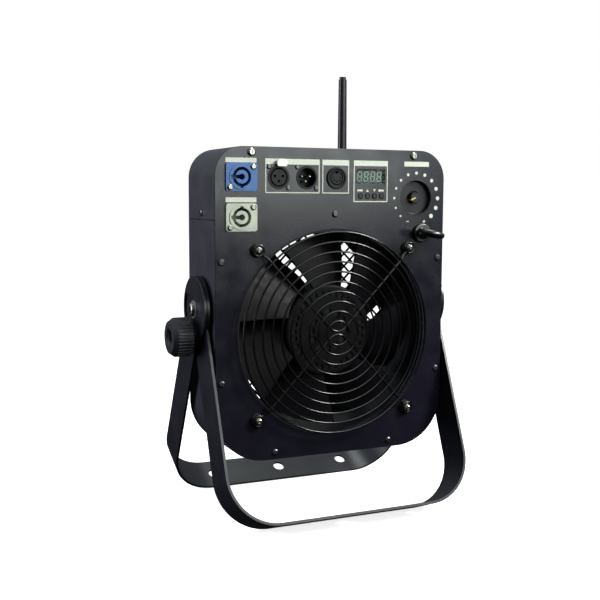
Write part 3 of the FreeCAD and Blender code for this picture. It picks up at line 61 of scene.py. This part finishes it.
class Paint:
    """A material under construction: makes and links shader nodes round one Principled BSDF."""

    def __init__(self, name):
        self.material = bpy.data.materials.new(name)
        self.material.use_nodes = True
        self.tree = self.material.node_tree
        self.shader = self.tree.nodes["Principled BSDF"]
        place = self.add("ShaderNodeTexCoord")
        self.place = place.outputs["Object"]

    def add(self, kind, **settings):
        node = self.tree.nodes.new(kind)
        for key, value in settings.items():
            setattr(node, key, value)
        return node

    def link(self, source, target):
        self.tree.links.new(source, target)

    def noise(self, size_mm, detail=2.0, stretch=(1, 1, 1), rough=0.5):
        """Noise whose grains are about size_mm across, stretched along the axes by stretch."""
        mapping = self.add("ShaderNodeMapping")
        self.link(self.place, mapping.inputs["Vector"])
        mapping.inputs["Scale"].default_value = [1.0 / (size_mm * MM * share) for share in stretch]
        texture = self.add("ShaderNodeTexNoise")
        self.link(mapping.outputs["Vector"], texture.inputs["Vector"])
        texture.inputs["Scale"].default_value = 1.0
        texture.inputs["Detail"].default_value = detail
        texture.inputs["Roughness"].default_value = rough
        return texture.outputs["Fac"]

    def cells(self, size_mm, feature="F1"):
        mapping = self.add("ShaderNodeMapping")
        self.link(self.place, mapping.inputs["Vector"])
        mapping.inputs["Scale"].default_value = [1.0 / (size_mm * MM)] * 3
        texture = self.add("ShaderNodeTexVoronoi", feature=feature)
        self.link(mapping.outputs["Vector"], texture.inputs["Vector"])
        texture.inputs["Scale"].default_value = 1.0
        return texture.outputs["Distance"]

    def ramp(self, source, stops):
        """Map a factor through colour or grey stops: [(position, value), ...]."""
        node = self.add("ShaderNodeValToRGB")
        self.link(source, node.inputs["Fac"])
        band = node.color_ramp
        while len(band.elements) < len(stops):
            band.elements.new(0.5)
        for element, (position, value) in zip(band.elements, stops):
            element.position = position
            colour = (value,) * 3 if isinstance(value, (int, float)) else value
            element.color = (*colour[:3], 1.0)
        return node.outputs["Color"]

    def mix(self, factor, first, second):
        node = self.add("ShaderNodeMix", data_type="RGBA")
        for socket, value in (("Factor", factor), ("A", first), ("B", second)):
            slots = [slot for slot in node.inputs if slot.name == socket and slot.type != "VECTOR"]
            target = slots[0] if socket == "Factor" else [s for s in slots if s.type == "RGBA"][0]
            if hasattr(value, "is_linked"):
                self.link(value, target)
            elif isinstance(value, (int, float)):
                target.default_value = value
            else:
                target.default_value = (*value[:3], 1.0)
        return [slot for slot in node.outputs if slot.type == "RGBA"][0]

    def set(self, socket, value):
        target = self.shader.inputs[socket]
        if hasattr(value, "is_linked"):
            self.link(value, target)
        else:
            target.default_value = value

    def bump(self, height, strength, depth_mm):
        node = self.add("ShaderNodeBump")
        self.link(height, node.inputs["Height"])
        node.inputs["Strength"].default_value = strength
        node.inputs["Distance"].default_value = depth_mm * MM
        previous = self.shader.inputs["Normal"].links
        if previous:
            self.link(previous[0].from_socket, node.inputs["Normal"])
        self.link(node.outputs["Normal"], self.shader.inputs["Normal"])

    def edge_factor(self, low, high):
        """1 on sharp outer edges, 0 elsewhere."""
        geometry = self.add("ShaderNodeNewGeometry")
        return self.ramp(geometry.outputs["Pointiness"], [(low, 0.0), (high, 1.0)])


def shade(colour, factor):
    return tuple(min(1.0, max(0.0, channel * factor)) for channel in colour)


def powder_coat(name, colour, rough=0.42, grain_mm=0.55, depth_mm=0.02, edge=1.8, shine=0.5):
    """Satin powder coat: orange-peel grain, faint tone drift and a painted highlight along its sharp edges.
    """
    paint = Paint(name)
    tone = paint.ramp(paint.noise(38, 3), [(0.35, shade(colour, 0.9)), (0.68, shade(colour, 1.12))])
    fleck = paint.ramp(paint.noise(0.35, 1), [(0.62, 0.0), (0.75, 0.15)])
    flecked = paint.mix(fleck, tone, shade(colour, 1.5))
    # Sharp edges are painted lighter: a painted highlight for the light that the edges catch.
    painted_edge_highlight = paint.mix(paint.edge_factor(0.53, 0.62), flecked, shade(colour, edge))
    paint.set("Base Color", painted_edge_highlight)
    paint.set("Roughness", paint.ramp(paint.noise(22, 4), [(0.3, rough - 0.05), (0.75, rough + 0.08)]))
    paint.set("Specular IOR Level", shine)
    paint.bump(paint.noise(grain_mm, 2), 0.35, depth_mm)
    paint.bump(paint.cells(grain_mm * 2.6), 0.12, depth_mm)
    return paint.material


def moulded(name, colour, rough=0.45, grain_mm=0.25, depth_mm=0.015, shine=0.5):
    """Injection-moulded plastic with a fine spark-eroded grain."""
    paint = Paint(name)
    tone = paint.ramp(paint.noise(12, 3), [(0.3, shade(colour, 0.88)), (0.72, shade(colour, 1.1))])
    paint.set("Base Color", tone)
    paint.set("Roughness", paint.ramp(paint.noise(5, 3), [(0.3, rough - 0.06), (0.75, rough + 0.08)]))
    paint.set("Specular IOR Level", shine)
    paint.bump(paint.noise(grain_mm, 2), 0.3, depth_mm)
    return paint.material


def plated(name, colour, rough=0.2, scratch=0.2, dark=0.35):
    """Plated metal with fine scratches and painted shade in its hollows."""
    paint = Paint(name)
    tone = paint.ramp(paint.noise(3, 3), [(0.3, shade(colour, 0.8)), (0.7, colour)])
    geometry = paint.add("ShaderNodeNewGeometry")
    # Hollows are painted darker: painted shade where light falls off in recesses.
    hollow_shade = paint.ramp(geometry.outputs["Pointiness"], [(0.40, 1.0), (0.49, 0.0)])
    paint.set("Base Color", paint.mix(hollow_shade, tone, shade(colour, dark)))
    paint.set("Metallic", 1.0)
    scratches = paint.noise(0.6, 3, (1, 6, 1))
    paint.set("Roughness", paint.ramp(scratches, [(0.3, rough), (0.8, rough + scratch)]))
    paint.bump(paint.noise(0.3, 2, (1, 9, 1)), 0.15, 0.01)
    return paint.material


def machined(name, colour=(0.55, 0.55, 0.54), rough=0.32):
    """Turned or stamped steel with fine tool lines."""
    paint = Paint(name)
    lines = paint.noise(0.25, 2, (14, 1, 14))
    paint.set("Base Color", paint.ramp(lines, [(0.3, shade(colour, 0.75)), (0.7, colour)]))
    paint.set("Metallic", 1.0)
    paint.set("Roughness", paint.ramp(lines, [(0.25, rough - 0.08), (0.8, rough + 0.15)]))
    paint.bump(lines, 0.2, 0.015)
    return paint.material


def rubber(name, colour=(0.014, 0.014, 0.014)):
    paint = Paint(name)
    tone = paint.ramp(paint.noise(2, 3), [(0.3, shade(colour, 0.8)), (0.7, shade(colour, 1.6))])
    paint.set("Base Color", tone)
    paint.set("Roughness", paint.ramp(paint.noise(1.5, 2), [(0.3, 0.6), (0.8, 0.8)]))
    paint.bump(paint.noise(0.3, 2), 0.4, 0.03)
    return paint.material


def clear_window(name, tint):
    """A clear acrylic pane with a faint smoky tint and a reflection that grows at a glance."""
    paint = Paint(name)
    through = paint.add("ShaderNodeBsdfTransparent")
    smoke = paint.ramp(paint.noise(10, 2), [(0.3, tint), (0.7, shade(tint, 1.05))])
    paint.link(smoke, through.inputs["Color"])
    shine = paint.add("ShaderNodeBsdfGlossy")
    paint.link(paint.ramp(paint.noise(4, 3), [(0.4, 0.04), (0.9, 0.1)]), shine.inputs["Roughness"])
    glance = paint.add("ShaderNodeFresnel")
    glance.inputs["IOR"].default_value = 1.18
    blend = paint.add("ShaderNodeMixShader")
    paint.link(glance.outputs["Fac"], blend.inputs["Fac"])
    paint.link(through.outputs["BSDF"], blend.inputs[1])
    paint.link(shine.outputs["BSDF"], blend.inputs[2])
    paint.link(blend.outputs["Shader"], paint.tree.nodes["Material Output"].inputs["Surface"])
    return paint.material


def ink(name, colour):
    """Screen-printed ink: slightly uneven cover and a matte face."""
    paint = Paint(name)
    patch = paint.noise(0.8, 3)
    paint.set("Base Color", paint.ramp(patch, [(0.25, shade(colour, 0.78)), (0.6, colour)]))
    paint.set("Roughness", paint.ramp(patch, [(0.3, 0.5), (0.7, 0.62)]))
    paint.bump(paint.noise(0.2, 2), 0.2, 0.01)
    return paint.material


def circuit_board(name):
    paint = Paint(name)
    tracks = paint.ramp(paint.cells(2.4, "F2"), [(0.42, 0.0), (0.47, 1.0)])
    paint.set("Base Color", paint.mix(tracks, (0.015, 0.1, 0.04), (0.03, 0.17, 0.07)))
    paint.set("Roughness", 0.35)
    paint.bump(tracks, 0.2, 0.03)
    return paint.material


def floor_paint(name):
    """Pale studio floor, lit up for the camera so that only soft contact shadows show."""
    paint = Paint(name)
    darker, paler = (0.84, 0.84, 0.84), (0.88, 0.88, 0.88)
    paint.set("Base Color", paint.ramp(paint.noise(180, 3), [(0.3, darker), (0.7, paler)]))
    paint.set("Roughness", 0.8)
    paint.set("Specular IOR Level", 0.0)
    paint.set("Emission Color", (1, 1, 1, 1))
    paint.set("Emission Strength", 0.8)
    return paint.material


LOOKS = {
    "panel_paint": powder_coat("panel_paint", (0.004, 0.0036, 0.0075), rough=0.235, depth_mm=0.018),
    "shell_paint": powder_coat("shell_paint", (0.016, 0.016, 0.022), rough=0.38),
    "bracket_paint": powder_coat("bracket_paint", (0.009, 0.009, 0.015), rough=0.33),
    "guard_paint": powder_coat("guard_paint", (0.003, 0.0028, 0.0035), rough=0.16, depth_mm=0.008),
    "black_metal": powder_coat("black_metal", (0.004, 0.004, 0.005), rough=0.4, shine=0.3),
    "fan_plastic": moulded("fan_plastic", (0.004, 0.0036, 0.005), rough=0.5, shine=0.13),
    "black_plastic": moulded("black_plastic", (0.006, 0.006, 0.009), rough=0.35, shine=0.4),
    "knob_plastic": moulded("knob_plastic", (0.011, 0.011, 0.015), rough=0.45),
    "socket_black": moulded("socket_black", (0.006, 0.006, 0.007), rough=0.42, shine=0.22),
    "blue_plastic": moulded("blue_plastic", (0.045, 0.135, 0.36), rough=0.34, shine=0.35),
    "grey_plastic": moulded("grey_plastic", (0.46, 0.5, 0.42), rough=0.4, shine=0.3),
    "white_plastic": moulded("white_plastic", (0.85, 0.86, 0.82), rough=0.3),
    "display_lens": clear_window("display_lens", (0.86, 0.9, 0.88)),
    "display_case": moulded("display_case", (0.05, 0.062, 0.062), rough=0.5, shine=0.2),
    "silver_screw": plated("silver_screw", (0.5, 0.48, 0.43), rough=0.16),
    "black_screw": plated("black_screw", (0.16, 0.165, 0.175), rough=0.25),
    "contact_metal": plated("contact_metal", (0.75, 0.73, 0.66)),
    "brass_metal": plated("brass_metal", (0.62, 0.5, 0.26)),
    "eye_steel": plated("eye_steel", (0.12, 0.12, 0.115), rough=0.22),
    "steel": machined("steel"),
    "magnet": machined("magnet", (0.12, 0.12, 0.12), rough=0.5),
    "rubber": rubber("rubber"),
    "board": circuit_board("board"),
}
LEGEND = ink("legend", (0.62, 0.66, 0.56))
SEGMENT = ink("segment", (0.36, 0.42, 0.4))
POINTER = ink("pointer", (0.62, 0.55, 0.1))

slot_of = {part["node"]: part["material_slot"] for part in frame["record"]["subparts"]}


# ---------------------------------------------------------------- carried-over CAD nodes

WELD_GAP = 0.003 * MM
SMOOTH_BELOW = 28
SOFTEN_ABOVE = 40


def smooth_by_angle(limit_degrees):
    """Geometry nodes that weld a split CAD mesh and shade it smooth across all but its sharp edges."""
    group = bpy.data.node_groups.new("weld_and_smooth", "GeometryNodeTree")
    group.interface.new_socket("Geometry", in_out="INPUT", socket_type="NodeSocketGeometry")
    group.interface.new_socket("Geometry", in_out="OUTPUT", socket_type="NodeSocketGeometry")
    start = group.nodes.new("NodeGroupInput")
    end = group.nodes.new("NodeGroupOutput")
    plain = group.nodes.new("GeometryNodeRemoveAttribute")
    plain.inputs["Name"].default_value = "custom_normal"
    weld = group.nodes.new("GeometryNodeMergeByDistance")
    weld.inputs["Distance"].default_value = WELD_GAP
    faces = group.nodes.new("GeometryNodeSetShadeSmooth")
    faces.domain = "FACE"
    edges = group.nodes.new("GeometryNodeSetShadeSmooth")
    edges.domain = "EDGE"
    edges.inputs["Shade Smooth"].default_value = False
    angle = group.nodes.new("GeometryNodeInputMeshEdgeAngle")
    sharp = group.nodes.new("FunctionNodeCompare")
    sharp.operation = "GREATER_THAN"
    sharp.inputs["B"].default_value = math.radians(limit_degrees)
    group.links.new(angle.outputs["Unsigned Angle"], sharp.inputs["A"])
    group.links.new(sharp.outputs["Result"], edges.inputs["Selection"])
    chain = [start, plain, weld, faces, edges, end]
    for before, after in zip(chain, chain[1:]):
        group.links.new(before.outputs[0], after.inputs[0])
    return group


SMOOTHING = smooth_by_angle(SMOOTH_BELOW)


def dress(node, bevel_mm):
    """Give a CAD node its finish, smooth its round faces and soften its sharp edges."""
    item = frame["nodes"][node]
    item.data.materials.clear()
    item.data.materials.append(LOOKS[slot_of[node]])
    weld = item.modifiers.new("weld_and_smooth", "NODES")
    weld.node_group = SMOOTHING
    if bevel_mm:
        bevel = item.modifiers.new("edge", "BEVEL")
        bevel.width = bevel_mm * MM
        bevel.segments = 2
        bevel.limit_method = "ANGLE"
        bevel.angle_limit = math.radians(SOFTEN_ABOVE)
        bevel.use_clamp_overlap = True
        bevel.harden_normals = True


EDGE_SOFTNESS = {
    "front_bracket": 0.35, "rear_bracket": 0.35, "mains_inlet": 0.25, "mains_outlet": 0.25,
    "data_out_latch": 0.3, "lock_knob": 0.2, "dial_cup": 0.2, "speed_knob": 0.15,
}
for node in frame["nodes"]:
    dress(node, EDGE_SOFTNESS.get(node, 0))


# ---------------------------------------------------------------- printed marks on the front panel

panel_low, panel_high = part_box("front_panel")
PANEL_FACE = panel_low.y
HOUSING_MIDDLE = (panel_low.x + panel_high.x) / 2
HOUSING_BASE = panel_low.z
INK_DEPTH = 0.06
INK_BITE = 0.02
TOWARDS_VIEWER = Vector((0, -1, 0))


def on_panel(x, row, out=0.0):
    """A point in mm: x from the panel's middle line, row up from the underside, out from its face."""
    return Vector((HOUSING_MIDDLE + x * MM, PANEL_FACE - out * MM, HOUSING_BASE + row * MM))


def new_piece(name, mesh, material, body):
    piece = bpy.data.objects.new(name, mesh)
    piece.data.materials.append(material)
    bpy.context.scene.collection.objects.link(piece)
    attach(piece, body)
    return piece


def add_slab(work, outline, depth):
    """Add a closed flat slab to a bmesh: outline is a loop of points, depth leads to its back face."""
    front = [work.verts.new(point) for point in outline]
    back = [work.verts.new(point + depth) for point in outline]
    work.faces.new(front)
    work.faces.new(list(reversed(back)))
    count = len(outline)
    for index in range(count):
        following = (index + 1) % count
        work.faces.new((front[following], front[index], back[index], back[following]))


def slabs_to_mesh(name, outlines, depth):
    work = bmesh.new()
    for outline in outlines:
        add_slab(work, outline, depth)
    bmesh.ops.recalc_face_normals(work, faces=work.faces)
    mesh = bpy.data.meshes.new(name)
    work.to_mesh(mesh)
    work.free()
    return mesh


def rectangle(left, right, low, high, corner=0.0, steps=4):
    """A rectangle as (x, row) points, with its corners rounded if corner is given."""
    if not corner:
        return [(left, low), (right, low), (right, high), (left, high)]
    points = []
    centres = [(right - corner, high - corner, 0), (left + corner, high - corner, 90),
               (left + corner, low + corner, 180), (right - corner, low + corner, 270)]
    for x, y, start in centres:
        for step in range(steps + 1):
            angle = math.radians(start + 90 * step / steps)
            points.append((x + corner * math.cos(angle), y + corner * math.sin(angle)))
    return points


def disc(x, row, radius, steps=28):
    angles = [2 * math.pi * step / steps for step in range(steps)]
    return [(x + radius * math.cos(angle), row + radius * math.sin(angle)) for angle in angles]


def frame_bars(left, right, low, high, header, line=0.9):
    """A printed box round a group of sockets: a header band and three thin lines."""
    return [
        rectangle(left, right, high - header, high),
        rectangle(left, left + line, low, high - header),
        rectangle(right - line, right, low, high - header),
        rectangle(left + line, right - line, low, low + line),
    ]


def dial_marks(centre_x, centre_row):
    """Thirteen dots that grow clockwise round the dial, with a minus and a plus at its ends."""
    ring, first, step, count = 25.2, -135.0, 22.5, 13
    smallest, largest = 1.0, 2.25
    shapes = []
    for index in range(count):
        angle = math.radians(first + step * index)
        radius = smallest + (largest - smallest) * index / (count - 1)
        shapes.append(disc(centre_x + ring * math.sin(angle), centre_row + ring * math.cos(angle), radius))
    end = math.radians(first - step)
    minus_x = centre_x + ring * math.sin(end)
    plus_x = centre_x - ring * math.sin(end)
    row = centre_row + ring * math.cos(end)
    arm, half = 1.5, 0.4
    shapes.append(rectangle(minus_x - arm, minus_x + arm, row - half, row + half))
    shapes.append(rectangle(plus_x - arm, plus_x + arm, row - half, row + half))
    shapes.append(rectangle(plus_x - half, plus_x + half, row + half, row + arm))
    shapes.append(rectangle(plus_x - half, plus_x + half, row - arm, row - half))
    return shapes


def panel_row(node):
    """The middle of a node, in mm from the panel's middle line and up from the housing's underside."""
    low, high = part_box(node)
    middle = (low + high) / 2
    return (middle.x - HOUSING_MIDDLE) / MM, (middle.z - HOUSING_BASE) / MM


def button_sign(x, row, kind):
    """The mark over a button: a short bar, or a triangle that points up (1) or down (-1)."""
    if kind == "bar":
        return rectangle(x - 3.4, x + 2.4, row - 0.9, row + 0.9)
    half, rise = 1.5, 1.3 * kind
    return [(x - half, row - rise), (x + half, row - rise), (x, row + rise)]


def make_panel_print():
    """Headings over the ports, boxes round the sockets, marks round the dial and over the buttons."""
    dial_x, dial_row = panel_row("dial_cup")
    data_left = panel_row("data_out_socket")[0]
    data_right = panel_row("data_in_socket")[0]
    remote_x = panel_row("remote_socket")[0]
    mains_x, mains_row = panel_row("mains_inlet")
    outlet_row = panel_row("mains_outlet")[1]
    top, header = 289.0, 5.2
    low = top - 32.2
    display_low = top - 40.3
    dial_half, dial_header = 14.3, 4.8
    mains_half, corner = 15.3, 0.4
    shapes = frame_bars(data_left - 13.6, data_right + 13.4, low, top, header)
    shapes += frame_bars(remote_x - 15.0, remote_x + 13.7, low, top, header)
    shapes += frame_bars(19.9, 57.7, display_low, top, header)
    shapes.append(rectangle(dial_x - dial_half, dial_x + dial_half, top - dial_header, top, corner))
    for row, above, high in ((mains_row, 13.3, 17.6), (outlet_row, 14.1, 18.6)):
        shapes.append(rectangle(mains_x - mains_half, mains_x + mains_half, row + above, row + high, corner))
    shapes += dial_marks(dial_x, dial_row - 0.5)
    sign_row = panel_row("up_button")[1] + 5.6
    signs = {"menu_button": "bar", "up_button": 1, "down_button": -1, "enter_button": "bar"}
    for node, kind in signs.items():
        shapes.append(button_sign(panel_row(node)[0], sign_row, kind))
    outlines = [[on_panel(x, row, INK_DEPTH) for x, row in shape] for shape in shapes]
    mesh = slabs_to_mesh("panel_print", outlines, -TOWARDS_VIEWER * (INK_DEPTH + INK_BITE) * MM)
    new_piece("panel_print", mesh, LEGEND, "housing")


# ---------------------------------------------------------------- display digits and dial pointer

def digit_segments(width, height, stroke):
    """The seven segments of a digit 8 round its middle, as pointed bars."""
    gap = stroke * 0.12
    half = stroke / 2
    across = width / 2 - half
    up = height / 2 - half
    tip = across - gap
    bars = []
    for row in (-up, 0, up):
        low, high = row - half, row + half
        bars.append([(-tip, row), (half - tip, low), (tip - half, low),
                     (tip, row), (tip - half, high), (half - tip, high)])
    for column in (-across, across):
        left, right = column - half, column + half
        for base, end in ((-up + gap, -gap), (gap, up - gap)):
            bars.append([(column, base), (right, base + half), (right, end - half),
                         (column, end), (left, end - half), (left, base + half)])
    return bars


def make_display_digits():
    """Four unlit seven-segment digits and their decimal points on the face of the display module."""
    low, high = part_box("display_module")
    middle = (low + high) / 2
    recess = 0.6 * MM
    lift = 0.05 * MM
    pitch, lean = 7.2, math.tan(math.radians(6))
    width, height, stroke = 5.2, 10.2, 1.15
    point_x, point_y, point_radius = 3.5, -4.7, 0.5
    outlines = []
    for place in (-1.5, -0.5, 0.5, 1.5):
        shapes = digit_segments(width, height, stroke)
        shapes.append(disc(point_x, point_y, point_radius, 12))
        for shape in shapes:
            outline = []
            for x, y in shape:
                across = (place * pitch + x + y * lean) * MM
                outline.append(Vector((middle.x + across, low.y + recess - lift, middle.z + y * MM)))
            outlines.append(outline)
    mesh = slabs_to_mesh("display_digits", outlines, Vector((0, lift + INK_BITE * MM, 0)))
    new_piece("display_digits", mesh, SEGMENT, "housing")


POINTER_ANGLE = 114


def make_dial_pointer():
    """A painted line across the knob's face and down its flank."""
    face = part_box("speed_knob")[0].y
    cup_low, cup_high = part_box("dial_cup")
    centre = (cup_low + cup_high) / 2
    turn = math.radians(POINTER_ANGLE)
    outward = Vector((-math.sin(turn), 0, math.cos(turn)))
    sideways = Vector((math.cos(turn), 0, math.sin(turn)))
    path = [(0.1, 0.0), (5.0, 0.0), (5.5, 0.5), (5.75, 4.6)]
    lift = 0.12
    top = [(reach + (lift if depth else 0), depth - lift) for reach, depth in path]
    under = [(reach - lift, depth + lift) for reach, depth in reversed(path)]
    width = 1.4 * MM
    outline = []
    for reach, depth in top + under:
        point = Vector((centre.x, face + depth * MM, centre.z)) + outward * reach * MM - sideways * width / 2
        outline.append(point)
    mesh = slabs_to_mesh("dial_pointer", [outline], sideways * width)
    new_piece("dial_pointer", mesh, POINTER, "speed_knob")


make_panel_print()
make_display_digits()
make_dial_pointer()


# ---------------------------------------------------------------- stage, light and camera

def make_stage():
    ground = cad_box[0].z
    half_size = 6.0
    corners = [(x * half_size, y * half_size, ground) for x, y in ((-1, -1), (1, -1), (1, 1), (-1, 1))]
    mesh = bpy.data.meshes.new("floor")
    mesh.from_pydata(corners, [], [(0, 1, 2, 3)])
    floor = bpy.data.objects.new("floor", mesh)
    floor.data.materials.append(floor_paint("floor"))
    floor.visible_glossy = False
    floor.visible_diffuse = False
    bpy.context.scene.collection.objects.link(floor)


def area_light(name, place, aim, size, power, colour=(1, 1, 1)):
    data = bpy.data.lights.new(name, "AREA")
    data.shape = "RECTANGLE"
    data.size, data.size_y = size
    data.energy = power
    data.color = colour
    lamp = bpy.data.objects.new(name, data)
    lamp.location = place
    lamp.rotation_euler = (Vector(aim) - Vector(place)).to_track_quat("-Z", "Y").to_euler()
    bpy.context.scene.collection.objects.link(lamp)


def make_world():
    """White behind the object for the camera, a dim sky-to-floor gradient for everything it lights."""
    world = bpy.data.worlds.new("studio")
    world.use_nodes = True
    tree = world.node_tree
    out = tree.nodes["World Output"]
    seen = tree.nodes["Background"]
    seen.inputs["Color"].default_value = (1, 1, 1, 1)
    seen.inputs["Strength"].default_value = 1.0
    fill = tree.nodes.new("ShaderNodeBackground")
    place = tree.nodes.new("ShaderNodeTexCoord")
    split = tree.nodes.new("ShaderNodeSeparateXYZ")
    shift = tree.nodes.new("ShaderNodeMapRange")
    shift.inputs["From Min"].default_value = -1.0
    shift.inputs["From Max"].default_value = 1.0
    ramp = tree.nodes.new("ShaderNodeValToRGB")
    stops = [(0.0, 0.01), (0.46, 0.03), (0.56, 0.16), (1.0, 0.5)]
    while len(ramp.color_ramp.elements) < len(stops):
        ramp.color_ramp.elements.new(0.5)
    for element, (position, value) in zip(ramp.color_ramp.elements, stops):
        element.position = position
        element.color = (value * 0.86, value * 0.94, value, 1)
    tree.links.new(place.outputs["Generated"], split.inputs["Vector"])
    tree.links.new(split.outputs["Z"], shift.inputs["Value"])
    tree.links.new(shift.outputs["Result"], ramp.inputs["Fac"])
    tree.links.new(ramp.outputs["Color"], fill.inputs["Color"])
    rays = tree.nodes.new("ShaderNodeLightPath")
    choose = tree.nodes.new("ShaderNodeMixShader")
    tree.links.new(rays.outputs["Is Camera Ray"], choose.inputs["Fac"])
    tree.links.new(fill.outputs["Background"], choose.inputs[1])
    tree.links.new(seen.outputs["Background"], choose.inputs[2])
    tree.links.new(choose.outputs["Shader"], out.inputs["Surface"])
    bpy.context.scene.world = world


def make_lights():
    """A softbox that shines softly in the panel's top, a key from the right, a top and a left light."""
    make_world()
    panel = on_panel(0, 150)
    greenish, cool = (0.93, 1.0, 0.95), (0.88, 0.9, 1.0)
    softbox = on_panel(348, 443, 925)
    area_light("softbox", softbox, softbox + Vector((0, 1, 0)), (0.588, 0.428), 3.7, greenish)
    area_light("key", panel + Vector((0.95, -0.85, 0.85)), panel, (0.4, 0.4), 30, (1.0, 1.0, 0.96))
    area_light("top", panel + Vector((0.2, 0.1, 1.2)), panel, (0.9, 0.6), 8, greenish)
    area_light("left", panel + Vector((-1.3, 0.5, 0.25)), panel, (0.6, 1.0), 14, cool)


CAMERA_FROM_PANEL = Vector((-0.42177, -0.85425, 0.10238))
CAMERA_YAW, CAMERA_PITCH, CAMERA_ROLL = 24.25, 5.97, 0.29
CAMERA_LENS = 58.59


def make_camera():
    """Camera at the reference view: placed from the middle of the front panel's outer face."""
    low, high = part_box("front_panel")
    middle = Vector(((low.x + high.x) / 2, low.y, (low.z + high.z) / 2))
    data = bpy.data.cameras.new("camera")
    data.lens = CAMERA_LENS
    data.sensor_width = 36.0
    camera = bpy.data.objects.new("camera", data)
    turn = Matrix.Rotation(math.radians(-CAMERA_YAW), 4, "Z")
    tilt = Matrix.Rotation(math.radians(90 - CAMERA_PITCH), 4, "X")
    roll = Matrix.Rotation(math.radians(CAMERA_ROLL), 4, "Z")
    camera.matrix_world = Matrix.Translation(middle + CAMERA_FROM_PANEL) @ turn @ tilt @ roll
    bpy.context.scene.collection.objects.link(camera)
    bpy.context.scene.camera = camera


make_stage()
make_lights()
make_camera()
bpy.context.scene.view_settings.view_transform = "Standard"
